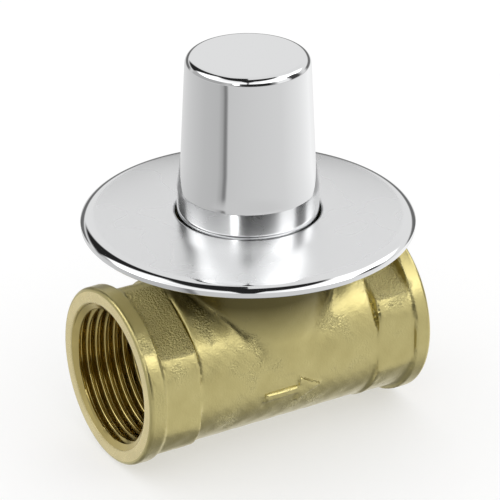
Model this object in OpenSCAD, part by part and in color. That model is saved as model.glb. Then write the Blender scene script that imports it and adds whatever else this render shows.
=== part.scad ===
// Concealed stop valve, three-quarter inch, with a chrome knob and wall rosette.
// Origin: centre of the inlet mouth. +X runs along the pipe to the outlet, +Z up the spindle.

/* [Body] */
// Length of the body over its two end faces
body_length = 57.6; // [54:0.2:64]
// Thickness of the collar at each end, outside the thread
collar_wall = 2.88; // [2.7:0.01:3.6]
// Width of each collar along the pipe
collar_w = 3.2; // [2.4:0.1:4]
// Width of the wrench flats beside each collar
flats_w = 7.2; // [5:0.1:8]
// Thickness at the middle of the two upper flats, outside the thread
upper_flats_wall = 1.3; // [1.2:0.01:1.6]
// Thickness at the middle of the other four flats, outside the thread
flats_wall = 2.1; // [2.02:0.01:2.4]
// Thickness of the plain barrel between the flats, outside the thread
barrel_wall = 1.73; // [1.71:0.01:1.95]
// Height of the neck's top face above the pipe axis
neck_top = 22.9; // [21.9:0.1:25]

/* [Valve travel] */
// Turns of the knob from shut to open
turns = 3.5; // [2.5:0.25:3.5]
// Lift of the washer for each turn
lead = 1.75; // [1.25:0.25:1.75]
// Diameter of the hole in the seat
seat_bore_d = 13; // [11:0.5:13.5]

/* [Knob and rosette] */
// Height of the knob's top above the neck's top face
knob_rise = 32.1; // [31:0.1:38]
// Diameter of the knob just below its rounded top edge
knob_top_d = 21.9; // [21.4:0.1:22.4]
// Diameter of the straight band round the knob's foot
knob_band_d = 25.1; // [24.7:0.1:25.2]
// Diameter of the rosette
rosette_d = 59; // [54:0.5:75]
// Height of the rosette's dish, from its rim to its crown
rosette_h = 2.9; // [2.6:0.1:3.4]
// Thickness of the rosette's sheet
rosette_t = 0.9; // [0.7:0.1:1]

/* [Hidden] */
$fn = 96;
eps = 0.01;
axis_x = body_length / 2;

// Tones of the pieces
brass_tone = [0.78, 0.72, 0.44];
turned_tone = [0.86, 0.78, 0.48];
chrome_tone = [0.84, 0.85, 0.87];
rubber_tone = [0.10, 0.10, 0.11];
fibre_tone = [0.62, 0.30, 0.22];
nylon_tone = [0.90, 0.90, 0.86];
steel_tone = [0.62, 0.63, 0.65];
foam_tone = [0.30, 0.30, 0.32];

// Fits
fit_gap = 0.05;
run_gap = 0.08;
free_gap = 0.3;

// Chamfers
edge_bevel = 0.4;
chamfer = 0.6;

// Female pipe thread, as the wall of a plain bore at its major diameter
thread_bore_d = 26.44;

// Outside of the body
collar_d = thread_bore_d + 2 * collar_wall;
barrel_d = thread_bore_d + 2 * barrel_wall;

// Upright neck, a little wider than the knob that hides the headwork in it
neck_over_knob = 2.25;
neck_d = knob_band_d + 2 * neck_over_knob;

// Headwork seat in the neck
headwork_r = 10.25;
neck_bore_r = headwork_r + fit_gap;
neck_bore_low = 4;
neck_rim = 2.2;
recess_r = neck_d / 2 - neck_rim;
recess_depth = 2;
recess_z = neck_top - recess_depth;
gasket_t = 1;
shoulder_z = recess_z + gasket_t;

// Seat and washer
seat_r = seat_bore_d / 2;
seat_land = 1.5;
seat_h = 1;
web_top = 0.5;
web_t = 2;
seat_top = web_top + seat_h;
washer_t = 3;
washer_edge = 0.4;
washer_hole_gap = 0.15;
washer_r = seat_r + seat_land + 0.5;

// Washer carrier
carrier_z = seat_top + fit_gap + washer_t;
carrier_plate_t = 2.5;
carrier_rim_t = 0.7;
carrier_rim_h = 1.5;
carrier_r = washer_r + carrier_rim_t;
plate_top = carrier_z + carrier_plate_t;
lift = turns * lead;
stem_flats = 13.6;
stem_edge = 0.3;
stem_floor_t = 1.2;
stem_bore_floor = plate_top + stem_floor_t;
washer_screw_r = 1.95;
washer_screw_end = 0.3;
washer_head_r = 3.4;
washer_head_h = 2;
slot_w = 1;
slot_depth = 0.9;

// Partition between the two chambers, placed from the spindle's axis
passage_wall = 3.4;
passage_r = barrel_d / 2 - passage_wall;
wall_t = 2.3;
carrier_gap = 1.4;
wall_near_r = max(carrier_r + carrier_gap, neck_bore_r + free_gap);
wall_inset = axis_x - wall_near_r - wall_t;
thread_runout = 0.9;
thread_depth = wall_inset - thread_runout;

// Knob and its hold on the spindle, from the top down
knob_top = neck_top + knob_rise;
knob_crown_t = 1.8;
screw_head_r = 3.5;
screw_head_h = 2.2;
screw_head_space = 2.05;
adapter_top = knob_top - knob_crown_t - screw_head_space - screw_head_h;
adapter_web_t = 1.5;
adapter_web_z = adapter_top - adapter_web_t;
end_gap = 0.1;
spline_end = adapter_web_z - end_gap;
spline_h = 5.6;
spline_z = spline_end - spline_h;
spline_lead = 0.9;
clip_t = 0.8;
clip_gap = 0.02;
clip_z = spline_z - spline_lead - clip_t;
clip_in_r = 3.2;
clip_out_r = 5.6;
clip_eye_r = 0.8;
tube_top = clip_z - fit_gap;
knob_screw_r = 1.95;
knob_screw_depth = 7.5;

// Headwork body
headwork_low = plate_top + lift + 0.2;
guide_flats = stem_flats + 2 * run_gap;
flange_r = recess_r - free_gap;
flange_t = 1.5;
flange_bevel = 0.3;
hex_z = shoulder_z + flange_t;
hex_h = 5.6;
tube_r = 7;
thrust_t = 0.8;
collar_t = 1.5;
shoulder_in_z = hex_z + hex_h - 0.1;
spindle_collar_z = shoulder_in_z - thrust_t - collar_t - 2 * fit_gap;
spindle_collar_r = 6.5;

// Spindle
spindle_r = 4.1;
spindle_bore_r = spindle_r + fit_gap;
screw_r = 4.5;
screw_relief = 0.9;
spindle_low = stem_bore_floor + lift + 0.3;
stem_top = spindle_collar_z - lift - 0.4;
ring_r = 0.78;
ring_groove_r = 2.5;
ring_mid_r = ring_groove_r + ring_r + 0.02;
ring_groove_w = 2 * ring_r + 0.3;
ring_room = tube_top - shoulder_in_z;
lower_ring_z = shoulder_in_z + ring_room * 0.29;
upper_ring_z = shoulder_in_z + ring_room * 0.6;
spline_r = 3.95;
spline_root_r = 3.5;
spline_teeth = 20;

// Spline adapter inside the knob
adapter_low = spline_z + end_gap;
hub_r = 5.6;
adapter_inset = 1.55;
adapter_r = knob_top_d / 2 - adapter_inset;
adapter_wall = 1.6;
skirt_rise = 1.1;
skirt_z = adapter_low + skirt_rise;
rib_count = 6;
rib_t = 1.2;
grip_r = 0.72;
grip_groove_depth = 1.4;
grip_groove_r = adapter_r - grip_groove_depth;
grip_mid_r = grip_groove_r + grip_r + 0.02;
grip_z = (skirt_z + adapter_web_z) / 2 + 0.4;
grip_groove_w = 2 * grip_r + 0.3;
skirt_in_r = grip_groove_r - adapter_wall;
cross_l = 3.8;
cross_w = 0.9;
cross_depth = 1.4;

// Knob
knob_foot = hex_z + 0.6;
knob_foot_edge = 0.2;
knob_edge_r = 1.1;
knob_wall = 1.3;
knob_band_h = 7.3;
knob_band_top = knob_foot + knob_band_h;
knob_flare_h = 5.7;
knob_flare_top = knob_band_top + knob_flare_h;
knob_flare = 0.53;
knob_taper_r = knob_band_d / 2 - knob_flare;
knob_slope = (knob_taper_r - knob_top_d / 2) / (knob_top - knob_edge_r - knob_band_top);
knob_bore_r = adapter_r + 0.1;
knob_bore_low = adapter_low - free_gap;
knob_stop_r = knob_bore_r - 1.1;
hex_space = 0.86;
hex_flats = (knob_band_d - 2 * knob_wall - 2 * hex_space) * cos(30);

// Rosette
rosette_r = rosette_d / 2;
rosette_low = neck_top + 0.2;
rosette_top = rosette_low + rosette_h;
hole_r = knob_band_d / 2 + free_gap;
rim_r = 1.5;
roll_r = 0.6;
collar_foot_z = neck_top + 0.02;
seal_in_r = hole_r + 0.38 * (rosette_r - hole_r);
seal_out_r = hole_r + 0.79 * (rosette_r - hole_r);
seal_gap = 0.12;

function arc(cx, cz, r, a0, a1, n = 8) =
    [for (i = [0:n]) let (a = a0 + (a1 - a0) * i / n) [cx + r * cos(a), cz + r * sin(a)]];

// Radius of the knob's tapered side at height z, with the soft flare that grows out to the band
function knob_side(z) = let (down = max(0, knob_flare_top - z) / knob_flare_h)
    knob_top_d / 2 + (knob_top - knob_edge_r - z) * knob_slope
    + knob_flare * pow(down, 2) * (1.5 - 0.5 * down);

// Corner between two neighbouring flats at distances d0 and d1, the first facing angle a
function flats_corner(d0, d1, a) = [
    (d0 * sin(a + 60) - d1 * sin(a)) / sin(60),
    (d1 * cos(a) - d0 * cos(a + 60)) / sin(60)
];

// Height of the rosette's upper face at radius r
function dish(r) = rosette_top - (rosette_h - rim_r) * pow((r - hole_r) / (rosette_r - rim_r - hole_r), 1.6);

module on_spindle() {
    translate([axis_x, 0, 0]) children();
}

module at_both_ends() {
    children();
    translate([body_length, 0, 0]) mirror([1, 0, 0]) children();
}

// Solid turned about the spindle from a radius and height profile
module turned(points) {
    rotate_extrude() polygon(points);
}

// Solid turned about the pipe axis from a radius and distance profile
module turned_on_pipe(points) {
    rotate([0, 90, 0]) rotate_extrude() polygon(points);
}

module hex_prism(flats, h) {
    cylinder(r = flats / 2 / cos(30), h = h, $fn = 6);
}

// Flat ring between two radii
module washer_ring(r_in, r_out, z, t) {
    translate([0, 0, z]) difference() {
        cylinder(r = r_out, h = t);
        translate([0, 0, -eps]) cylinder(r = r_in, h = t + 2 * eps);
    }
}

module o_ring(mid_r, r, z) {
    translate([0, 0, z]) rotate_extrude() translate([mid_r, 0]) circle(r = r, $fn = 32);
}

// Twenty fine teeth of the usual tap spline
module spline_outline(grow = 0) {
    polygon([for (i = [0:spline_teeth - 1]) for (s = [0:3])
        let (a = (i + [0.06, 0.34, 0.56, 0.84][s]) * 360 / spline_teeth,
             r = (s < 2 ? spline_root_r : spline_r) + grow)
        [r * cos(a), r * sin(a)]]);
}

// Hexagon of the wrench flats, with its corners up and down and its two upper flats deeper
module flats_outline() {
    side_r = thread_bore_d / 2 + flats_wall;
    upper_r = thread_bore_d / 2 + upper_flats_wall;
    flats = [side_r, side_r, upper_r, upper_r, side_r, side_r];
    intersection() {
        polygon([for (i = [0:5]) flats_corner(flats[i], flats[(i + 1) % 6], 30 + 60 * i)]);
        circle(d = collar_d - 2 * fit_gap);
    }
}

// Collar with its bevelled edges, then the wrench flats
module end_collar() {
    turned_on_pipe([
        [0, 0], [collar_d / 2 - edge_bevel, 0], [collar_d / 2, edge_bevel],
        [collar_d / 2, collar_w - edge_bevel], [collar_d / 2 - edge_bevel, collar_w], [0, collar_w]
    ]);
    translate([collar_w - eps, 0, 0]) rotate([0, 90, 0]) linear_extrude(flats_w) flats_outline();
}

// Bore of the female thread, open at the end face
module end_bore() {
    translate([-1, 0, 0]) rotate([0, 90, 0]) cylinder(d = thread_bore_d, h = thread_depth + 1);
}

// Web that holds the seat, with the wall above it at the inlet and below it at the outlet
module partition() {
    difference() {
        union() {
            translate([wall_inset, -passage_r - 1, web_top - web_t])
                cube([body_length - 2 * wall_inset, 2 * passage_r + 2, web_t]);
            translate([wall_inset, -passage_r - 1, web_top - web_t])
                cube([wall_t, 2 * passage_r + 2, passage_r + web_t + 1]);
            translate([body_length - wall_inset - wall_t, -passage_r - 1, -passage_r - 1])
                cube([wall_t, 2 * passage_r + 2, passage_r + web_top + 1]);
            on_spindle() translate([0, 0, web_top - eps])
                cylinder(r1 = washer_r, r2 = seat_r + seat_land, h = seat_h + eps);
        }
        on_spindle() translate([0, 0, web_top - web_t - 1]) cylinder(r = seat_r, h = web_t + 3);
    }
}

module flow_passage() {
    difference() {
        translate([thread_depth - eps, 0, 0]) rotate([0, 90, 0])
            cylinder(r = passage_r, h = body_length - 2 * thread_depth + 2 * eps);
        partition();
    }
}

// Bore of the neck with the recess that takes the headwork's flange
module neck_bore() {
    turned([
        [0, neck_bore_low], [neck_bore_r, neck_bore_low], [neck_bore_r, recess_z], [recess_r, recess_z],
        [recess_r, neck_top + 1], [0, neck_top + 1]
    ]);
}

module valve_body() {
    color(brass_tone) difference() {
        union() {
            translate([collar_w, 0, 0]) rotate([0, 90, 0])
                cylinder(d = barrel_d, h = body_length - 2 * collar_w);
            at_both_ends() end_collar();
            on_spindle() turned([
                [0, 0], [neck_d / 2, 0], [neck_d / 2, neck_top - edge_bevel],
                [neck_d / 2 - edge_bevel, neck_top], [0, neck_top]
            ]);
        }
        at_both_ends() end_bore();
        flow_passage();
        on_spindle() neck_bore();
    }
}

module headwork_body() {
    color(turned_tone) on_spindle() difference() {
        union() {
            turned([
                [0, headwork_low], [headwork_r - chamfer, headwork_low], [headwork_r, headwork_low + chamfer],
                [headwork_r, shoulder_z], [flange_r, shoulder_z], [flange_r, hex_z - flange_bevel],
                [flange_r - flange_bevel, hex_z], [0, hex_z]
            ]);
            translate([0, 0, hex_z - eps]) intersection() {
                hex_prism(hex_flats, hex_h);
                cylinder(r1 = hex_flats / 2 / cos(30) + hex_h, r2 = hex_flats / 2 + chamfer, h = hex_h);
            }
            turned([
                [0, hex_z], [tube_r, hex_z], [tube_r, tube_top - chamfer], [tube_r - chamfer, tube_top],
                [0, tube_top]
            ]);
        }
        translate([0, 0, headwork_low - 1])
            hex_prism(guide_flats, spindle_collar_z - fit_gap - headwork_low + 1);
        translate([0, 0, spindle_collar_z - fit_gap - eps])
            cylinder(r = spindle_collar_r + run_gap, h = shoulder_in_z - spindle_collar_z + fit_gap + eps);
        cylinder(r = spindle_bore_r, h = tube_top + 1);
    }
}

module headwork_gasket() {
    color(fibre_tone) on_spindle() washer_ring(headwork_r + fit_gap, flange_r, recess_z, gasket_t);
}

module spindle() {
    half_w = ring_groove_w / 2;
    color(turned_tone) on_spindle() difference() {
        union() {
            turned([
                [0, spindle_low], [screw_r - chamfer, spindle_low], [screw_r, spindle_low + chamfer],
                [screw_r, spindle_collar_z - chamfer],
                [screw_r - screw_relief, spindle_collar_z - edge_bevel],
                [screw_r - screw_relief, spindle_collar_z], [spindle_collar_r, spindle_collar_z],
                [spindle_collar_r, spindle_collar_z + collar_t], [spindle_r, spindle_collar_z + collar_t],
                [spindle_r, lower_ring_z - half_w], [ring_groove_r, lower_ring_z - half_w],
                [ring_groove_r, lower_ring_z + half_w], [spindle_r, lower_ring_z + half_w],
                [spindle_r, upper_ring_z - half_w], [ring_groove_r, upper_ring_z - half_w],
                [ring_groove_r, upper_ring_z + half_w], [spindle_r, upper_ring_z + half_w],
                [spindle_r, clip_z], [clip_in_r - fit_gap, clip_z], [clip_in_r - fit_gap, clip_z + clip_t],
                [spindle_r, clip_z + clip_t], [spindle_r, spline_z - edge_bevel], [spline_root_r, spline_z],
                [0, spline_z]
            ]);
            translate([0, 0, spline_z - eps]) linear_extrude(spline_end - spline_z + eps) spline_outline();
        }
        translate([0, 0, spline_end - knob_screw_depth])
            cylinder(r = knob_screw_r + fit_gap, h = knob_screw_depth + 1);
    }
}

module spindle_o_rings() {
    color(rubber_tone) on_spindle() {
        o_ring(ring_mid_r, ring_r, lower_ring_z);
        o_ring(ring_mid_r, ring_r, upper_ring_z);
    }
}

module thrust_washer() {
    color(nylon_tone) on_spindle()
        washer_ring(spindle_r + fit_gap, spindle_collar_r, spindle_collar_z + collar_t + fit_gap, thrust_t);
}

// Open clip that snaps into the spindle's groove
module retaining_ring() {
    color(steel_tone) on_spindle() difference() {
        washer_ring(clip_in_r, clip_out_r, clip_z + clip_gap, clip_t - 2 * clip_gap);
        translate([0, -clip_in_r * 0.8, clip_z - clip_t]) cube([2 * clip_out_r, clip_in_r * 1.6, 3 * clip_t]);
        for (side = [-1, 1]) rotate(side * 115)
            translate([clip_in_r, 0, clip_z - clip_t]) cylinder(r = clip_eye_r, h = 3 * clip_t);
    }
}

// Non-turning carrier, guided by its flats and lifted by the spindle's screw
module washer_carrier() {
    color(turned_tone) on_spindle() difference() {
        union() {
            turned([
                [0, carrier_z], [washer_r, carrier_z], [washer_r, carrier_z - carrier_rim_h],
                [carrier_r, carrier_z - carrier_rim_h], [carrier_r, plate_top - chamfer],
                [carrier_r - chamfer, plate_top],
                [0, plate_top]
            ]);
            translate([0, 0, plate_top - eps]) intersection() {
                hex_prism(stem_flats, stem_top - plate_top + eps);
                cylinder(r = stem_flats / 2 / cos(30) - stem_edge, h = stem_top - plate_top + eps);
            }
        }
        translate([0, 0, stem_bore_floor]) cylinder(r = screw_r + run_gap, h = stem_top);
        translate([0, 0, carrier_z - washer_t])
            cylinder(r = washer_screw_r + fit_gap, h = washer_t + carrier_plate_t + stem_floor_t / 2);
    }
}

module seat_washer() {
    hole = washer_screw_r + washer_hole_gap;
    low = carrier_z - washer_t;
    color(rubber_tone) on_spindle() turned([
        [hole, low], [washer_r - washer_edge, low], [washer_r - fit_gap, low + washer_edge],
        [washer_r - fit_gap, carrier_z], [hole, carrier_z]
    ]);
}

module washer_screw() {
    under_head = carrier_z - washer_t;
    low = under_head - washer_head_h;
    color(turned_tone) on_spindle() difference() {
        turned([
            [0, low], [washer_head_r - edge_bevel, low], [washer_head_r, low + edge_bevel],
            [washer_head_r, under_head], [washer_screw_r, under_head],
            [washer_screw_r, plate_top - washer_screw_end], [0, plate_top]
        ]);
        translate([-2 * washer_head_r, -slot_w / 2, low - slot_depth])
            cube([4 * washer_head_r, slot_w, 2 * slot_depth]);
    }
}

module spline_adapter() {
    color(nylon_tone) on_spindle() difference() {
        union() {
            translate([0, 0, adapter_low]) cylinder(r = hub_r, h = adapter_top - adapter_low);
            turned([
                [skirt_in_r, skirt_z], [adapter_r, skirt_z],
                [adapter_r, grip_z - grip_groove_w / 2], [grip_groove_r, grip_z - grip_groove_w / 2],
                [grip_groove_r, grip_z + grip_groove_w / 2], [adapter_r, grip_z + grip_groove_w / 2],
                [adapter_r, adapter_top - edge_bevel], [adapter_r - edge_bevel, adapter_top],
                [hub_r / 2, adapter_top], [hub_r / 2, adapter_web_z], [skirt_in_r, adapter_web_z]
            ]);
            for (i = [0:rib_count - 1]) rotate(i * 360 / rib_count)
                translate([hub_r - rib_t / 2, -rib_t / 2, skirt_z + rib_t / 2])
                    cube([skirt_in_r - hub_r + rib_t, rib_t, adapter_top - skirt_z - rib_t]);
        }
        translate([0, 0, adapter_low - chamfer])
            linear_extrude(adapter_web_z - adapter_low + chamfer) spline_outline(fit_gap);
        translate([0, 0, adapter_low]) cylinder(r = knob_screw_r + washer_hole_gap, h = adapter_top);
    }
}

module adapter_screw() {
    low = spline_end - 0.87 * knob_screw_depth;
    head_top = adapter_top + screw_head_h;
    color(steel_tone) on_spindle() difference() {
        turned([
            [0, low], [knob_screw_r - chamfer, low], [knob_screw_r, low + chamfer],
            [knob_screw_r, adapter_top],
            [screw_head_r, adapter_top], [screw_head_r, head_top - chamfer],
            [screw_head_r - chamfer, head_top], [0, head_top]
        ]);
        for (turn = [0, 90]) rotate(turn)
            translate([-cross_l / 2, -cross_w / 2, head_top - cross_depth])
                cube([cross_l, cross_w, 2 * cross_depth]);
    }
}

module grip_ring() {
    color(rubber_tone) on_spindle() o_ring(grip_mid_r, grip_r, grip_z);
}

// Hollow cap in one piece: straight band, soft flare, slow taper, rounded top edge
module knob() {
    inner_foot_r = knob_band_d / 2 - knob_wall;
    color(chrome_tone) on_spindle() turned(concat(
        [[inner_foot_r, knob_foot], [knob_band_d / 2 - knob_foot_edge, knob_foot],
            [knob_band_d / 2, knob_foot + knob_foot_edge]],
        [for (i = [0:10]) let (z = knob_band_top + knob_flare_h * i / 10) [knob_side(z), z]],
        arc(knob_top_d / 2 - knob_edge_r, knob_top - knob_edge_r, knob_edge_r, 0, 90),
        [[0, knob_top], [0, knob_top - knob_crown_t], [knob_stop_r, knob_top - knob_crown_t],
            [knob_stop_r, adapter_top + fit_gap], [knob_bore_r, adapter_top + fit_gap],
            [knob_bore_r, knob_bore_low], [knob_side(knob_bore_low) - knob_wall, knob_bore_low - chamfer],
            [knob_side(knob_flare_top) - knob_wall, knob_flare_top], [inner_foot_r, knob_band_top]]
    ));
}

// Pressed dish with a rounded rim and a collar turned down at the hole
module rosette() {
    rim_x = rosette_r - rim_r;
    color(chrome_tone) on_spindle() turned(concat(
        [[hole_r, collar_foot_z]],
        arc(hole_r + roll_r, rosette_top - roll_r, roll_r, 180, 108, 4),
        [for (i = [1:6]) let (r = hole_r + roll_r + (rim_x - hole_r - roll_r) * i / 6) [r, dish(r)]],
        arc(rim_x, rosette_low, rim_r, 75, 0, 5),
        [[rosette_r - rosette_t, rosette_low]],
        [for (i = [0:6]) let (r = rim_x - (rim_x - hole_r - rosette_t) * i / 6) [r, dish(r) - rosette_t]],
        [[hole_r + rosette_t, collar_foot_z]]
    ));
}

// Foam ring stuck in the hollow of the rosette, so that it meets the tiles
module rosette_seal() {
    under = rosette_t + seal_gap;
    color(foam_tone) on_spindle() turned([
        [seal_in_r, neck_top + end_gap], [seal_out_r, neck_top + end_gap],
        [seal_out_r, dish(seal_out_r) - under], [seal_in_r, dish(seal_in_r) - under]
    ]);
}

valve_body();
headwork_body();
headwork_gasket();
spindle();
spindle_o_rings();
thrust_washer();
retaining_ring();
washer_carrier();
seat_washer();
washer_screw();
spline_adapter();
adapter_screw();
grip_ring();
knob();
rosette();
rosette_seal();
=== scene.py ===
"""Concealed stop valve: forged brass body, chrome knob and rosette, and the headwork inside."""
import math

import bpy
import numpy as np
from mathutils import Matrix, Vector


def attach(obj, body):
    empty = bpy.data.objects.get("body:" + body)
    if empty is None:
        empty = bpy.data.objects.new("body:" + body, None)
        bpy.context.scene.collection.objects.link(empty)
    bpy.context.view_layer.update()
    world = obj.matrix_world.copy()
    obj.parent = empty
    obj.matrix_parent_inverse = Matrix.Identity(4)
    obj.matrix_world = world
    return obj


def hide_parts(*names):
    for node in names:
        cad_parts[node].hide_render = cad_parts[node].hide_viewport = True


MM = 0.001

# Sizes in millimetres, the same as the solids'
LENGTH = 57.6
AXIS_X = LENGTH / 2
COLLAR_R = 16.1
COLLAR_W = 3.2
FLATS_W = 7.2
FLATS_FROM = AXIS_X - COLLAR_W - FLATS_W
UPPER_FLATS_R = 14.5
LOWER_FLATS_R = 15.3
SIDE_FLATS_R = (15.0, 15.35)
RIDGE_R = 15.95
BARREL_R = 14.95
NECK_R = 14.8
NECK_TOP = 22.9
RECESS_R = 12.6
THREAD_DEPTH = 15.0
THREAD_MAJOR_R = 13.2
THREAD_MINOR_R = 12.06
PITCH = 1.814

KNOB_TOP = 55.0
KNOB_TOP_R = 10.95
KNOB_EDGE_R = 1.1
KNOB_SOFT_R = 1.5
KNOB_BAND_R = 12.55
KNOB_FOOT = 24.0
KNOB_BAND_TOP = 30.5
KNOB_FLARE_TOP = 36.9
KNOB_FLARE = 0.53
KNOB_WALL = 1.3
KNOB_SLOPE = (KNOB_BAND_R - 0.53 - KNOB_TOP_R) / (KNOB_TOP - KNOB_EDGE_R - 31.3)
KNOB_INSIDE = [(0, 53.2), (8.4, 53.2), (8.4, 49.2), (9.5, 49.2), (9.5, 41.65)]

ROSETTE_R = 29.5
ROSETTE_LOW = NECK_TOP + 0.2
ROSETTE_TOP = ROSETTE_LOW + 2.9
ROSETTE_T = 0.9
HOLE_R = KNOB_BAND_R + 0.3
RIM_R = 2.4
RIM_TOP = 1.85
RIM_FROM = 27.92
ROLL_R = 0.6

SKIN_STEP = 0.366

CAMERA_AZIMUTH, CAMERA_ELEVATION = math.radians(-30.72), math.radians(26.56)
LAMP_SIDE, LAMP_HEIGHT = math.radians(-21), math.radians(19)
LAMP_LIGHT, BOX_LIGHT, MATT_LIGHT = 5.0, 2.6, 1.05

# Shallow dents of the forging: place along the pipe, height, width, depth
DENTS = [(21.5, -1.5, 0.8, 0.05), (24.0, -6.0, 0.6, 0.05), (44.0, -3.0, 0.9, 0.05), (48.5, -8.0, 0.7, 0.05),
         (40.5, 1.0, 0.6, 0.04), (17.0, -9.0, 0.9, 0.04)]


# Mesh helpers

def make_object(name, verts, faces, materials, smooth_angle=30.0, face_slots=None):
    """Mesh object from millimetre points."""
    mesh = bpy.data.meshes.new(name)
    mesh.from_pydata((np.asarray(verts, float) * MM).tolist(), [], [list(f) for f in faces])
    mesh.validate()
    mesh.polygons.foreach_set("use_smooth", [True] * len(mesh.polygons))
    for material in materials:
        mesh.materials.append(material)
    if face_slots is not None and len(face_slots) == len(mesh.polygons):
        mesh.polygons.foreach_set("material_index", face_slots)
    mesh.update()
    mesh.set_sharp_from_angle(angle=math.radians(smooth_angle))
    obj = bpy.data.objects.new(name, mesh)
    bpy.context.scene.collection.objects.link(obj)
    return obj


def revolve(profile, segments, axis="z", centre=(AXIS_X, 0.0, 0.0)):
    """Points and quads of a (radius, height) profile turned about an upright or a pipe-wise axis."""
    profile = np.asarray(profile, float)
    angles = np.linspace(0, 2 * math.pi, segments, endpoint=False)
    radius, height = profile[:, 0][:, None], profile[:, 1][:, None]
    cos, sin = np.cos(angles)[None], np.sin(angles)[None]
    flat = np.zeros_like(cos)
    if axis == "z":
        points = np.stack([radius * cos, radius * sin, height + flat], -1)
    else:
        points = np.stack([height + flat, radius * cos, radius * sin], -1)
    verts = points.reshape(-1, 3) + np.asarray(centre)
    rows = len(profile)
    j = np.arange(segments)
    k = (j + 1) % segments
    faces = []
    for i in range(rows - 1):
        a, b = i * segments, (i + 1) * segments
        quad = np.stack([a + j, a + k, b + k, b + j], 1)
        faces.extend(quad.tolist() if axis == "z" else quad[:, ::-1].tolist())
    return verts, faces


def arc(cx, cz, r, a0, a1, n):
    angles = np.radians(np.linspace(a0, a1, n + 1))
    return [(cx + r * math.cos(a), cz + r * math.sin(a)) for a in angles]


def join(parts):
    """One list of points, faces and material slots from several (points, faces, slot)."""
    verts, faces, slots, base = [], [], [], 0
    for points, polys, slot in parts:
        verts.append(np.asarray(points, float))
        faces.extend([[int(i) + base for i in f] for f in polys])
        slots.extend([slot] * len(polys))
        base += len(points)
    return np.concatenate(verts), faces, slots


# Forged body, as a distance field with soft fillets

def smooth_min(a, b, k):
    h = np.clip(0.5 + 0.5 * (b - a) / k, 0, 1)
    return b + (a - b) * h - k * h * (1 - h)


def rounded(radial, axial, r):
    """Distance to a prism with edges rounded by r, from its two signed distances."""
    a, b = radial + r, axial + r
    return np.minimum(np.maximum(a, b), 0) + np.hypot(np.maximum(a, 0), np.maximum(b, 0)) - r


def flats_outline(y, z, along):
    """Hexagon of the wrench flats: deep upper flats, side flats that run out towards the barrel."""
    side_r = np.interp(along, [FLATS_FROM, AXIS_X - COLLAR_W], SIDE_FLATS_R)
    slant = 0.5 * np.abs(y)
    tall = 0.8660254 * z
    return np.maximum(np.maximum(slant + tall - UPPER_FLATS_R, slant - tall - LOWER_FLATS_R), np.abs(y) - side_r)


def arrow(x, y, z):
    """Raised flow arrow on the front of the barrel."""
    u, v = x - AXIS_X - 0.6, z + 4.2
    shaft = np.maximum(np.abs(u + 2.3) - 3.4, np.abs(v) - 0.8)
    head = np.maximum(1.0 - u, 0.5 * (u - 1.0) + 0.866 * np.abs(v) - 2.4)
    return np.where(y < 0, np.minimum(shaft, head), 9.0)


def unevenness(x, y, z):
    """Slight waves and a few shallow dents of the forging, in millimetres."""
    waves = 0.02 * np.sin(0.55 * x + 0.3 * z + 1.0) * np.sin(0.7 * y - 0.5 * z) + 0.016 * np.sin(1.3 * x - 0.9 * z + 2.0)
    waves += 0.012 * np.sin(2.3 * z + 0.8 * x) * np.sin(1.9 * x + 0.7 * y)
    for cx, cz, size, depth in DENTS:
        waves = waves + depth * np.exp(-((x - cx) ** 2 + (z - cz) ** 2) / size ** 2) * (y < 0)
    return waves


def creases(y, z, along):
    """Sharp little grooves where the upper flats meet the collar and the barrel."""
    turn = np.degrees(np.arctan2(np.abs(y), z))
    groove = 0.28 * np.exp(-((along - FLATS_FROM + 0.25) / 0.28) ** 2) * np.clip((84 - turn) / 25, 0, 1)
    groove += 0.22 * np.exp(-((along - AXIS_X + COLLAR_W + 0.25) / 0.26) ** 2) * np.clip((70 - turn) / 20, 0, 1)
    return groove * np.clip((turn - 8) / 8, 0, 1) * (z > -4)


def body_distance(p):
    x, y, z = p[..., 0], p[..., 1], p[..., 2]
    r = np.hypot(y, z)
    along = np.abs(x - AXIS_X)
    barrel = rounded(r - BARREL_R, along - FLATS_FROM, 0.3)
    neck = rounded(np.hypot(x - AXIS_X, y) - NECK_R, np.maximum(z - NECK_TOP - 3, -z), 0.3)
    solid = smooth_min(barrel, neck, 0.9)
    mark = rounded(arrow(x, y, z), r - BARREL_R - 0.5, 0.15)
    solid = smooth_min(solid, mark, 0.25)
    far_low = np.clip(-z / 8 - 0.4, 0, 1) * np.clip((AXIS_X - x) * y / 60, 0, 1)
    outline = smooth_max(flats_outline(y, z, along), r - RIDGE_R + 0.75 * far_low, 0.5)
    flats = rounded(outline, FLATS_FROM - 0.2 - along, 0.2)
    solid = smooth_min(solid, flats, 0.3 + 0.5 * far_low)
    collar = rounded(r - COLLAR_R, AXIS_X - COLLAR_W - along, 0.25)
    fade = np.clip((AXIS_X - along - 1.1) / 1.5, 0, 1)
    solid = smooth_min(solid, collar, 0.3 + 0.9 * far_low)
    return solid + unevenness(x, y, z) * fade + creases(y, z, along)


def smooth_max(a, b, k):
    return -smooth_min(-a, -b, k)


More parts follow.
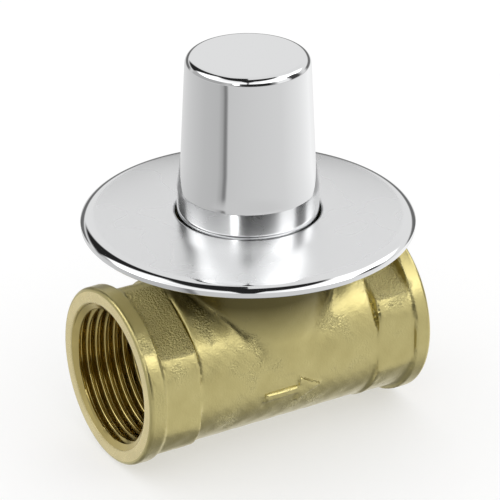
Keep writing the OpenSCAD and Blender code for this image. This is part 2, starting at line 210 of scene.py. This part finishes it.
def surface_net(lo, hi, step, field):
    """Quads on the zero level of a distance field, moved onto it exactly."""
    n = np.ceil((hi - lo) / step).astype(int) + 1
    axes = [lo[i] + step * np.arange(n[i]) for i in range(3)]
    grid = np.stack(np.meshgrid(*axes, indexing="ij"), -1)
    value = field(grid)
    inside = value < 0
    cells = tuple(k - 1 for k in n)
    total = np.zeros(cells + (3,))
    count = np.zeros(cells)
    for axis in range(3):
        a = [slice(None)] * 3
        b = [slice(None)] * 3
        a[axis], b[axis] = slice(0, -1), slice(1, None)
        va, vb = value[tuple(a)], value[tuple(b)]
        cross = inside[tuple(a)] != inside[tuple(b)]
        t = np.where(cross, va / np.where(cross, va - vb, 1), 0)
        point = grid[tuple(a)].copy()
        point[..., axis] += t * step
        others = [k for k in range(3) if k != axis]
        for d1 in (0, 1):
            for d2 in (0, 1):
                cut = [slice(None)] * 3
                for other, d in zip(others, (d1, d2)):
                    cut[other] = slice(d, cells[other] + d)
                c = cross[tuple(cut)]
                total += np.where(c[..., None], point[tuple(cut)], 0)
                count += c
    used = count > 0
    index = np.full(cells, -1)
    index[used] = np.arange(used.sum())
    verts = total[used] / count[used][:, None]
    quads = []
    for axis in range(3):
        b1, b2 = [(1, 2), (2, 0), (0, 1)][axis]
        a = [slice(1, -1)] * 3
        b = [slice(1, -1)] * 3
        a[axis], b[axis] = slice(0, -1), slice(1, None)
        ia, ib = inside[tuple(a)], inside[tuple(b)]
        for outward, mask in ((True, ia & ~ib), (False, ~ia & ib)):
            where = np.argwhere(mask)
            offset = np.ones(3, int)
            offset[axis] = 0
            cell = where + offset
            ring = []
            for s1, s2 in ((0, 0), (1, 0), (1, 1), (0, 1)):
                q = cell.copy()
                q[:, b1] -= 1 - s1
                q[:, b2] -= 1 - s2
                ring.append(index[q[:, 0], q[:, 1], q[:, 2]])
            quad = np.stack(ring, 1)
            quads.append(quad if outward else quad[:, ::-1])
    quads = np.concatenate(quads)
    for _ in range(3):
        h = 0.02
        slope = np.stack([field(verts + h * e) - field(verts - h * e) for e in np.eye(3)], -1) / (2 * h)
        length = np.maximum((slope ** 2).sum(-1, keepdims=True), 0.05)
        verts = verts - np.clip(field(verts)[:, None] * slope / length, -0.2, 0.2)
    return verts, quads


def forged_skin():
    """Outside of the body, open at its two end faces and at the neck's top."""
    verts, quads = surface_net(np.array([-1.5, -17.0, -17.0]), np.array([LENGTH + 1.5, 17.0, NECK_TOP + 1.0]),
                               SKIN_STEP, body_distance)
    end, top = 1.0, NECK_TOP - 0.9
    gone = (verts[:, 0] < end) | (verts[:, 0] > LENGTH - end) | (verts[:, 2] > top)
    quads = quads[~gone[quads].any(1)]
    edge_of = {}
    for quad in quads:
        for a, b in zip(quad, np.roll(quad, -1)):
            key = (min(a, b), max(a, b))
            edge_of[key] = edge_of.get(key, 0) + 1
    rim = np.array(sorted({v for key, uses in edge_of.items() if uses == 1 for v in key}))
    low = rim[verts[rim, 0] < 2]
    high = rim[verts[rim, 0] > LENGTH - 2]
    crown = rim[verts[rim, 2] > top - 1]
    verts[low, 0], verts[high, 0], verts[crown, 2] = end, LENGTH - end, top
    used, compact = np.unique(quads, return_inverse=True)
    return verts[used], compact.reshape(-1, 4)


def end_turning():
    """Machined end face of the inlet, from the collar's side to the thread's mouth."""
    edge = 0.75
    bevel = [(COLLAR_R - 0.03, 1.25), (COLLAR_R, 1.0)]
    bevel += arc(COLLAR_R - edge, edge, edge, 4, -86, 12)
    face = [bevel[-1], (15.0, 0.0), (14.2, 0.0), (13.62, 0.0), (13.52, 0.03), (13.42, 0.12)]
    return revolve(bevel, 256, "x", (0, 0, 0)), revolve(face, 256, "x", (0, 0, 0))


def thread_wall():
    """Female thread of the inlet: sheared grid whose rows follow the helix."""
    turn, per_pitch = 144, 12
    flank = (THREAD_MAJOR_R - THREAD_MINOR_R) * math.tan(math.radians(27.5)) / PITCH
    land = (1 - 2 * flank) / 2
    levels = [(0, 0), (land * 0.3, 0), (land * 0.5, 0.03), (land * 0.5 + flank * 0.12, 0.1),
              (land * 0.5 + flank * 0.88, 0.9), (land * 0.5 + flank, 0.97), (land * 0.5 + flank + land * 0.2, 1),
              (0.5 + land * 0.3, 1), (0.5 + land * 0.5, 0.97), (0.5 + land * 0.5 + flank * 0.12, 0.9),
              (0.5 + land * 0.5 + flank * 0.88, 0.1), (0.5 + land * 0.5 + flank, 0.03)]
    assert len(levels) == per_pitch
    first, last = -1, int(THREAD_DEPTH / PITCH) + 2
    along, depth = [], []
    for n in range(first, last):
        for u, level in levels:
            along.append((n + u) * PITCH)
            depth.append(level)
    along, depth = np.array(along), np.array(depth)
    theta = 2 * math.pi * np.arange(turn) / turn
    x = along[None] + PITCH * theta[:, None] / (2 * math.pi)
    radius = THREAD_MAJOR_R - (THREAD_MAJOR_R - THREAD_MINOR_R) * depth[None] + 0 * x
    mouth = 13.42 - (x - 0.12) * 2.6
    relief = THREAD_MAJOR_R - np.clip((THREAD_DEPTH - 1.4 - x) * 2.0, 0, 2)
    radius = np.maximum(np.maximum(radius, np.minimum(mouth, 13.42)), np.minimum(relief, THREAD_MAJOR_R))
    x = np.clip(x, 0.12, THREAD_DEPTH)
    verts = np.stack([x, radius * np.cos(theta)[:, None], radius * np.sin(theta)[:, None]], -1).reshape(-1, 3)
    rows = len(along)
    quads = []
    for j in range(turn):
        k = (j + 1) % turn
        shift = per_pitch if k == 0 else 0
        for i in range(rows - 1):
            if i + 1 + shift >= rows:
                continue
            a, b = j * rows + i, j * rows + i + 1
            c, d = k * rows + i + 1 + shift, k * rows + i + shift
            xs = x[[j, j, k, k], [i, i + 1, i + 1 + shift, i + shift]]
            if xs.max() - xs.min() < 1e-6:
                continue
            quads.append((a, b, c, d))
    return verts, quads


def other_end(verts):
    """The same piece at the outlet: half a turn about the spindle keeps the thread right-handed."""
    return np.stack([LENGTH - verts[:, 0], -verts[:, 1], verts[:, 2]], -1)


def inner_walls(node):
    """Seat, web, chambers and the neck's bore, as the solid has them."""
    mesh = node.data
    points = np.array([node.matrix_world @ v.co for v in mesh.vertices]) / MM
    pipe = np.hypot(points[:, 1], points[:, 2])
    spindle = np.hypot(points[:, 0] - AXIS_X, points[:, 1])
    keep = ((pipe < 13.3) & (points[:, 0] > THREAD_DEPTH - 0.01) & (points[:, 0] < LENGTH - THREAD_DEPTH + 0.01)) \
        | ((spindle < RECESS_R + 0.05) & (points[:, 2] > 3.9))
    faces = [list(f.vertices) for f in mesh.polygons if all(keep[i] for i in f.vertices)]
    used = sorted({i for f in faces for i in f})
    place = {old: new for new, old in enumerate(used)}
    return points[used], [[place[i] for i in f] for f in faces]


def neck_turning():
    profile = [(NECK_R - 0.03, NECK_TOP - 1.15), (NECK_R, NECK_TOP - 0.85), (NECK_R, NECK_TOP - 0.4),
               (NECK_R - 0.12, NECK_TOP - 0.12), (NECK_R - 0.4, NECK_TOP), (RECESS_R, NECK_TOP)]
    return revolve(profile, 192)


def mark_skin(body):
    """Vertex marks: grain is high on the rough upper flats; scale is painted shade, high at the neck's top under the
    rosette.
    """
    points = np.empty(len(body.data.vertices) * 3)
    body.data.vertices.foreach_get("co", points)
    x, y, z = points.reshape(-1, 3).T / MM
    along = np.abs(x - AXIS_X)
    upper = 0.5 * np.abs(y) + 0.8660254 * z
    inside = np.clip((UPPER_FLATS_R + 0.35 - upper) / 0.3, 0, 1) * np.clip((upper - 13.9) / 0.3, 0, 1)
    reach = np.clip((along - FLATS_FROM + 0.3) / 0.6, 0, 1) * np.clip((AXIS_X - COLLAR_W + 0.1 - along) / 0.4, 0, 1)
    # painted shade: the rosette's shadow on the neck, growing towards the neck's top
    rosette_shade = np.clip((z - 6.0) / 7.5, 0, 1) * np.clip((19.0 - np.hypot(x - AXIS_X, y)) / 4.0, 0, 1)
    for name, value in (("grain", inside * reach), ("scale", 0.95 * rosette_shade)):
        mark = body.data.attributes.new(name, "FLOAT", "POINT")
        mark.data.foreach_set("value", value.astype(np.float32))


def build_body(materials):
    skin = forged_skin()
    bevel, face = end_turning()
    thread = thread_wall()
    walls = inner_walls(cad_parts["valve_body"])
    neck = neck_turning()
    verts, faces, slots = join([
        (*skin, 0), (*bevel, 0), (other_end(bevel[0]), bevel[1], 0),
        (*face, 1), (other_end(face[0]), face[1], 1),
        (*thread, 2), (other_end(thread[0]), thread[1], 2), (*walls, 1), (*neck, 0)])
    body = make_object("body_forging", verts, faces, materials, 38.0, slots)
    mark_skin(body)
    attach(body, "base")
    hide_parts("valve_body")
    return body


# Knob and rosette

def knob_side(z):
    down = max(0.0, KNOB_FLARE_TOP - z) / (KNOB_FLARE_TOP - KNOB_BAND_TOP)
    side = KNOB_TOP_R + (KNOB_TOP - KNOB_EDGE_R - z) * KNOB_SLOPE
    return side + (KNOB_FLARE - 0.8 * KNOB_SLOPE) * down ** 2 * (1.5 - 0.5 * down)


def build_knob(material):
    foot_in = KNOB_BAND_R - KNOB_WALL
    profile = [(foot_in, KNOB_FOOT), (KNOB_BAND_R - 0.25, KNOB_FOOT)]
    profile += arc(KNOB_BAND_R - 0.2, KNOB_FOOT + 0.2, 0.2, -75, 0, 4)
    profile += [(KNOB_BAND_R, z) for z in np.linspace(KNOB_FOOT + 1, KNOB_BAND_TOP - 0.3, 6)]
    profile += [(KNOB_BAND_R - 0.004, KNOB_BAND_TOP - 0.1), (KNOB_BAND_R - 0.022, KNOB_BAND_TOP + 0.08)]
    profile += [(knob_side(z) - 0.004, z) for z in np.linspace(KNOB_BAND_TOP + 0.25, KNOB_FLARE_TOP, 24)]
    profile += [(knob_side(z), z) for z in np.linspace(KNOB_FLARE_TOP + 1.5, KNOB_TOP - KNOB_SOFT_R - 0.2, 10)]
    profile += arc(KNOB_TOP_R - KNOB_SOFT_R, KNOB_TOP - KNOB_SOFT_R - 0.04, KNOB_SOFT_R, 3, 85, 20)
    profile += [(r, KNOB_TOP - 0.05 * (r / KNOB_TOP_R) ** 2)
                for r in np.linspace(KNOB_TOP_R - KNOB_SOFT_R - 0.1, 0.02, 14)]
    profile += [(0.02, KNOB_INSIDE[0][1])] + KNOB_INSIDE[1:]
    profile += [(knob_side(41.05) - KNOB_WALL, 41.05), (knob_side(KNOB_FLARE_TOP) - KNOB_WALL, KNOB_FLARE_TOP),
                (foot_in, KNOB_BAND_TOP), (foot_in, KNOB_FOOT)]
    verts, faces = revolve(profile, 288)
    knob = make_object("knob_cap", verts, faces, [material], 35.0)
    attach(knob, "turning")
    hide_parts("knob")
    return knob


def dish(r):
    t = (r - HOLE_R) / (RIM_FROM - HOLE_R)
    return ROSETTE_TOP - (ROSETTE_TOP - ROSETTE_LOW - RIM_TOP) * t ** 1.8


def build_rosette(material):
    start, end = 8.0, 52.0
    profile = [(HOLE_R, NECK_TOP + 0.02), (HOLE_R, ROSETTE_TOP - ROLL_R - 0.6), (HOLE_R, ROSETTE_TOP - ROLL_R)]
    profile += arc(HOLE_R + ROLL_R, ROSETTE_TOP - ROLL_R, ROLL_R, 170, 96, 8)
    profile += [(r, dish(r)) for r in np.linspace(HOLE_R + ROLL_R + 0.2, RIM_FROM, 40)]
    bend_r = RIM_FROM - RIM_R * math.sin(math.radians(start))
    bend_z = dish(RIM_FROM) - RIM_R * math.cos(math.radians(start))
    profile += arc(bend_r, bend_z, RIM_R, 90 - start - 4, 90 - end, 9)
    corner_z = profile[-1][1]
    profile += [(ROSETTE_R - 0.02, corner_z - 0.07), (ROSETTE_R, corner_z - 0.16), (ROSETTE_R, ROSETTE_LOW + 0.4),
                (ROSETTE_R - 0.02, ROSETTE_LOW + 0.12), (ROSETTE_R - 0.12, ROSETTE_LOW),
                (ROSETTE_R - ROSETTE_T, ROSETTE_LOW)]
    profile += [(r, dish(r) - ROSETTE_T) for r in np.linspace(ROSETTE_R - 1.5, HOLE_R + ROSETTE_T, 24)]
    profile += [(HOLE_R + ROSETTE_T, NECK_TOP + 0.02), (HOLE_R, NECK_TOP + 0.02)]
    verts, faces = revolve(profile, 360)
    rosette = make_object("rosette_dish", verts, faces, [material], 25.0)
    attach(rosette, "rosette")
    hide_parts("rosette")
    return rosette


# Materials

class Graph:
    """Small helpers to wire shader nodes."""

    def __init__(self, tree):
        self.nodes, self.links = tree.nodes, tree.links

    def node(self, kind, *values, **settings):
        node = self.nodes.new("ShaderNode" + kind)
        for key, value in settings.items():
            setattr(node, key, value)
        for socket, value in zip(node.inputs, values):
            self.feed(socket, value)
        return node

    def feed(self, socket, value):
        if value is None:
            return
        if isinstance(value, bpy.types.NodeSocket):
            self.links.new(value, socket)
        else:
            socket.default_value = value

    def math(self, kind, *values):
        return self.node("Math", *values, operation=kind).outputs[0]

    def span(self, value, low, high, start=0.0, end=1.0, smooth=False):
        kind = "SMOOTHSTEP" if smooth else "LINEAR"
        return self.node("MapRange", value, start, end, low, high, interpolation_type=kind).outputs[0]

    def step(self, value, start, end):
        return self.span(value, 0.0, 1.0, start, end, True)

    def blend(self, a, b, share):
        node = self.node("Mix", data_type="FLOAT")
        for name, value in (("Factor", share), ("A", a), ("B", b)):
            self.feed(next(i for i in node.inputs if i.name == name and i.enabled), value)
        return node.outputs[0]

    def ramp(self, value, stops):
        node = self.node("ValToRGB", value)
        while len(node.color_ramp.elements) < len(stops):
            node.color_ramp.elements.new(0.5)
        for place, (position, colour) in zip(node.color_ramp.elements, stops):
            place.position = position
            place.color = (*colour, 1)
        return node.outputs["Color"]

    def noise(self, vector, per_metre, detail=3.0, roughness=0.5):
        return self.node("TexNoise", vector, None, per_metre, detail, roughness).outputs[0]


class Shader(Graph):
    """One procedural material."""

    def __init__(self, name, colour, metallic, roughness, specular=0.5):
        self.material = bpy.data.materials.new(name)
        self.material.use_nodes = True
        super().__init__(self.material.node_tree)
        self.bsdf = self.nodes["Principled BSDF"]
        self.bsdf.inputs["Base Color"].default_value = (*colour, 1)
        self.bsdf.inputs["Metallic"].default_value = metallic
        self.bsdf.inputs["Roughness"].default_value = roughness
        self.bsdf.inputs["Specular IOR Level"].default_value = specular
        self.material.diffuse_color = (*colour, 1)
        self.place = self.node("TexCoord").outputs["Object"]

    def stretched(self, scale):
        return self.node("Mapping", self.place, None, None, scale).outputs[0]

    def bump(self, height, strength, distance):
        node = self.node("Bump")
        self.feed(node.inputs["Strength"], strength)
        self.feed(node.inputs["Distance"], distance)
        self.feed(node.inputs["Height"], height)
        if self.bsdf.inputs["Normal"].is_linked:
            self.links.new(self.bsdf.inputs["Normal"].links[0].from_socket, node.inputs["Normal"])
        self.links.new(node.outputs["Normal"], self.bsdf.inputs["Normal"])

    def drive(self, socket, value):
        self.links.new(value, self.bsdf.inputs[socket])


def forged_brass():
    """Raw forging: soft patches, sharp grain on the marked flats, and painted shade that darkens it towards the
    neck's top under the rosette.
    """
    s = Shader("forged_brass", (0.60, 0.55, 0.27), 1.0, 0.42)
    mark = s.node("Attribute", attribute_name="grain").outputs["Fac"]
    # scale carries the painted shade of the rosette's shadow on the neck
    scale = s.node("Attribute", attribute_name="scale").outputs["Fac"]
    grain = s.noise(s.place, 2600, 2, 0.65)
    fine = s.noise(s.place, 1300, 3, 0.6)
    patch = s.noise(s.place, 130, 3, 0.6)
    loose = s.span(patch, 0.05, 0.5, 0.52, 0.68, True)
    amount = s.math("MAXIMUM", mark, loose)
    bright = s.ramp(patch, [(0.3, (0.58, 0.50, 0.205)), (0.7, (0.67, 0.59, 0.26))])
    tone = s.node("Mix", data_type="RGBA")
    s.feed(tone.inputs[0], scale)
    colours = [i for i in tone.inputs if i.type == "RGBA"]
    s.feed(colours[0], bright)
    # painted shade: the dark colour the neck's brass takes under the rosette
    s.feed(colours[1], (0.09, 0.073, 0.02, 1))
    s.drive("Base Color", next(o for o in tone.outputs if o.type == "RGBA"))
    s.drive("Roughness", s.span(mark, 0.3, 0.46))
    s.bump(fine, 0.4, 0.00006)
    s.bump(grain, amount, 0.00055)
    s.bsdf.inputs["Coat Weight"].default_value = 0.3
    s.bsdf.inputs["Coat Roughness"].default_value = 0.3
    return s.material


def machined_brass(name="machined_brass", colour=(0.92, 0.79, 0.42), roughness=0.3):
    s = Shader(name, colour, 1.0, roughness)
    turning = s.noise(s.stretched((6, 1, 1)), 900, 2, 0.5)
    darker = tuple(c * 0.93 for c in colour)
    lighter = tuple(min(c * 1.04, 1) for c in colour)
    s.drive("Base Color", s.ramp(s.noise(s.place, 220, 2), [(0.3, darker), (0.7, lighter)]))
    s.drive("Roughness", s.span(turning, roughness * 0.8, roughness * 1.2, 0.3, 0.7))
    s.bump(turning, 0.05, 0.00004)
    return s.material


def chrome(name, low, high, bright_rim=0.0):
    """Polished plating whose sheen varies a little between two roughnesses, and is full on a rim if it has one."""
    s = Shader(name, (0.86, 0.865, 0.87), 1.0, low)
    haze = s.noise(s.place, 60, 2)
    sheen = s.span(haze, low, high, 0.3, 0.7)
    if bright_rim:
        out = s.node("VectorMath", s.place, (-AXIS_X * MM, 0, 0), operation="ADD").outputs[0]
        out = s.node("VectorMath", out, (1, 1, 0), operation="MULTIPLY").outputs[0]
        out = s.node("VectorMath", out, operation="LENGTH").outputs["Value"]
        sheen = s.blend(sheen, 0.05, s.step(out, (bright_rim - 1.0) * MM, bright_rim * MM))
    s.drive("Roughness", sheen)
    return s.material


def plain(name, colour, roughness, metallic=0.0, grain=1200, depth=0.15):
    """Rubber, plastic, fibre or steel: a fine grain and a slight change of tone."""
    s = Shader(name, colour, metallic, roughness)
    tone = s.noise(s.place, 300, 2)
    darker = tuple(c * 0.86 for c in colour)
    lighter = tuple(min(c * 1.08, 1) for c in colour)
    s.drive("Base Color", s.ramp(tone, [(0.3, darker), (0.7, lighter)]))
    s.drive("Roughness", s.span(tone, roughness * 0.88, min(roughness * 1.1, 1), 0.3, 0.7))
    s.bump(s.noise(s.place, grain, 3), depth, 0.00006)
    return s.material


def dress_nodes(turned):
    rubber = plain("black_rubber", (0.018, 0.018, 0.02), 0.55)
    dressed = {
        "headwork_body": turned, "spindle": turned, "washer_carrier": turned, "washer_screw": turned,
        "spindle_o_rings": rubber, "grip_ring": rubber, "seat_washer": rubber,
        "headwork_gasket": plain("red_fibre", (0.26, 0.05, 0.03), 0.8, 0, 2500, 0.4),
        "thrust_washer": plain("slip_plastic", (0.82, 0.82, 0.80), 0.35),
        "spline_adapter": plain("white_nylon", (0.74, 0.74, 0.70), 0.42, 0, 1800, 0.1),
        "retaining_ring": plain("spring_steel", (0.16, 0.16, 0.17), 0.35, 1.0),
        "adapter_screw": plain("screw_steel", (0.55, 0.56, 0.58), 0.3, 1.0),
        "rosette_seal": plain("foam", (0.78, 0.78, 0.76), 0.95, 0, 1500, 0.8),
    }
    for name, material in dressed.items():
        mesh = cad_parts[name].data
        mesh.materials.clear()
        mesh.materials.append(material)


# Studio

def make_floor():
    half = 1.2
    low = -COLLAR_R * MM - 0.0002
    mesh = bpy.data.meshes.new("floor")
    corners = [(-half, -half, low), (half, -half, low), (half, half, low), (-half, half, low)]
    mesh.from_pydata(corners, [], [(0, 1, 2, 3)])
    s = Shader("floor_paint", (0.5, 0.5, 0.5), 0.0, 0.9, 0.1)
    s.drive("Base Color", s.ramp(s.noise(s.place, 6, 2), [(0.3, (0.49, 0.49, 0.49)), (0.7, (0.51, 0.51, 0.51))]))
    s.bsdf.inputs["Emission Color"].default_value = (1, 1, 1, 1)
    s.bsdf.inputs["Emission Strength"].default_value = 0.5
    mesh.materials.append(s.material)
    floor = bpy.data.objects.new("floor", mesh)
    floor.visible_glossy = False
    bpy.context.scene.collection.objects.link(floor)


def studio_pattern(g):
    """Brightness of the studio by direction, as the metal mirrors it: soft boxes, a dark ceiling and a pale sweep."""
    direction = g.node("TexCoord").outputs["Generated"]
    turned_way = g.node("VectorRotate", direction, None, (0, 0, 1), -CAMERA_AZIMUTH, rotation_type="AXIS_ANGLE")
    apart = g.node("SeparateXYZ", turned_way.outputs[0]).outputs
    degrees = 180 / math.pi
    side = g.math("MULTIPLY", g.math("ARCTAN2", apart[0], g.math("MULTIPLY", apart[1], -1.0)), degrees)
    height = g.math("MULTIPLY", g.math("ARCSINE", apart[2]), degrees)
    depth = g.math("MULTIPLY", height, -1.0)
    off = g.math("ABSOLUTE", side)
    turn = g.span(side, 0.0, 1.0, -180, 180)

    def around(stops):
        return g.ramp(turn, [((a + 180) / 360, (v, v, v)) for a, v in stops])

    upper = around([(-180, 0.83), (-124, 0.83), (-112, 0.46), (-48, 0.40), (-36, 0.55), (-22, 0.4), (-10, 0.05),
                    (0, 0.02), (38, 0.02), (48, 0.3), (56, 0.95), (77, 0.95), (84, 0.06), (101, 0.06), (111, 0.7), (122, 0.83), (180, 0.83)])
    gap = g.math("ADD", 0.3, g.math("MULTIPLY", g.math("MAXIMUM", g.math("SUBTRACT", height, 50.0), 0.0), 1.3))
    box = g.step(g.math("SUBTRACT", off, gap), 0, 3)
    box = g.math("MULTIPLY", box, g.math("SUBTRACT", 1.0, g.step(off, 118, 136)))
    middle = g.math("MULTIPLY", g.step(side, -26, -12), g.math("SUBTRACT", 1.0, g.step(side, 44, 58)))
    aside = g.math("MULTIPLY", g.step(side, 77, 84), g.math("SUBTRACT", 1.0, g.step(side, 101, 111)))
    foot = g.math("ADD", g.math("MULTIPLY", middle, 2.5), g.math("MULTIPLY", aside, 10.0))
    foot = g.math("ADD", 28.0, foot)
    box = g.math("MULTIPLY", box, g.step(g.math("SUBTRACT", height, foot), -3, 3))
    upper = g.blend(upper, 0.81, g.math("MULTIPLY", g.step(height, 28, 36), g.step(off, 118, 136)))
    upper = g.blend(upper, 0.02, g.math("MULTIPLY", g.step(height, 46, 52), g.math("SUBTRACT", 1.0, g.step(off, 118, 136))))
    box_light = around([(-180, 1.3), (-112, 1.3), (-100, 2.4), (-84, 2.4), (-70, 1.3), (-30, 1.22), (22, 1.22), (46, BOX_LIGHT), (180, BOX_LIGHT)])
    dimmer = g.math("ADD", g.math("MULTIPLY", box_light, 0.25), 0.72)
    box_light = g.blend(box_light, dimmer, g.step(height, 41, 47))
    upper = g.blend(upper, box_light, g.math("MULTIPLY", box, g.math("SUBTRACT", 1.0, g.step(height, 60, 66))))
    cap = g.math("MULTIPLY", g.step(height, 64, 72), g.math("SUBTRACT", 1.0, g.step(side, 96, 112)))
    upper = g.blend(upper, 0.02, cap)
    card = g.math("MULTIPLY", g.step(side, -156, -148), g.math("SUBTRACT", 1.0, g.step(side, -120, -114)))
    card = g.math("MULTIPLY", card, g.step(height, 14, 22))
    upper = g.blend(upper, 0.02, card)

    lower = around([(-180, 0.80), (-150, 0.74), (-115, 0.64), (-80, 0.55), (-52, 0.52), (-44, 0.40), (-40, 0.20),
                    (-37, 0.26), (-34, 0.62), (0, 0.66), (60, 0.72), (100, 0.86), (135, 1.02), (180, 0.86)])
    lower = g.blend(lower, 0.64, g.step(height, -10.2, -8.2))
    lower = g.blend(lower, 0.25, g.step(depth, 45, 65))

    value = g.blend(lower, upper, g.step(height, -6.0, 0.0))
    line = g.math("SUBTRACT", 1.0, g.step(g.math("ABSOLUTE", g.math("SUBTRACT", height, 4.0)), 6, 12))
    line = g.math("MULTIPLY", g.step(off, 118, 132), line)
    value = g.blend(value, 0.16, line)
    lamp_way = [math.sin(LAMP_SIDE) * math.cos(LAMP_HEIGHT), -math.cos(LAMP_SIDE) * math.cos(LAMP_HEIGHT),
                math.sin(LAMP_HEIGHT)]
    near = g.node("VectorMath", turned_way.outputs[0], lamp_way, operation="DOT_PRODUCT").outputs["Value"]
    return g.blend(value, LAMP_LIGHT, g.step(near, math.cos(math.radians(7)), math.cos(math.radians(4))))


def make_world():
    """White to the camera and to matt surfaces, the studio's pattern in the metal's reflections."""
    world = bpy.data.worlds.new("studio")
    bpy.context.scene.world = world
    world.use_nodes = True
    world.cycles.sampling_method = "NONE"
    g = Graph(world.node_tree)
    background = g.nodes["Background"]
    value = studio_pattern(g)
    tint = g.node("Mix", data_type="RGBA")
    glossy = g.node("LightPath").outputs["Is Glossy Ray"]
    colours = [i for i in tint.inputs if i.type == "RGBA"]
    g.feed(tint.inputs[0], glossy)
    g.feed(colours[0], (1.0, 1.0, 1.0, 1.0))
    g.feed(colours[1], g.node("CombineColor", value, value, value).outputs[0])
    g.links.new(next(o for o in tint.outputs if o.type == "RGBA"), background.inputs["Color"])
    g.feed(background.inputs["Strength"], g.blend(MATT_LIGHT, 1.0, glossy))


def make_camera():
    azimuth, elevation = CAMERA_AZIMUTH, CAMERA_ELEVATION
    distance, focal_px = 560.0, 3164.0
    target = Vector((AXIS_X + 0.40, 0.0, 17.42)) * MM
    back = Vector((math.sin(azimuth) * math.cos(elevation), -math.cos(azimuth) * math.cos(elevation), math.sin(elevation)))
    data = bpy.data.cameras.new("camera")
    data.sensor_width = 36.0
    data.lens = focal_px / 500 * 36.0
    data.clip_start, data.clip_end = 0.01, 10
    camera = bpy.data.objects.new("camera", data)
    camera.location = target + back * distance * MM
    camera.rotation_euler = (-back).to_track_quat("-Z", "Y").to_euler()
    bpy.context.scene.collection.objects.link(camera)
    bpy.context.scene.camera = camera


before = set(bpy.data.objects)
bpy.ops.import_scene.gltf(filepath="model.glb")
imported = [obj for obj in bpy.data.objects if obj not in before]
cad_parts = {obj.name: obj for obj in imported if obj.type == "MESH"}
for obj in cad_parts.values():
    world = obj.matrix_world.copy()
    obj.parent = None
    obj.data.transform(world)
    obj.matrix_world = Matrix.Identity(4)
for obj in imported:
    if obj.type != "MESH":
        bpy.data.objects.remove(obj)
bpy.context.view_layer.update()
bpy.context.scene.view_settings.view_transform = "Standard"

turned = machined_brass("turned_brass")
# The thread's brass is darker than the face's: painted shade of the bore's depth.
build_body([forged_brass(), machined_brass(), machined_brass("thread_brass_painted_shade", (0.64, 0.52, 0.2), 0.17)])
build_knob(chrome("knob_chrome", 0.05, 0.08))
build_rosette(chrome("rosette_chrome", 0.26, 0.30, RIM_FROM))
dress_nodes(turned)
make_floor()
make_world()
make_camera()
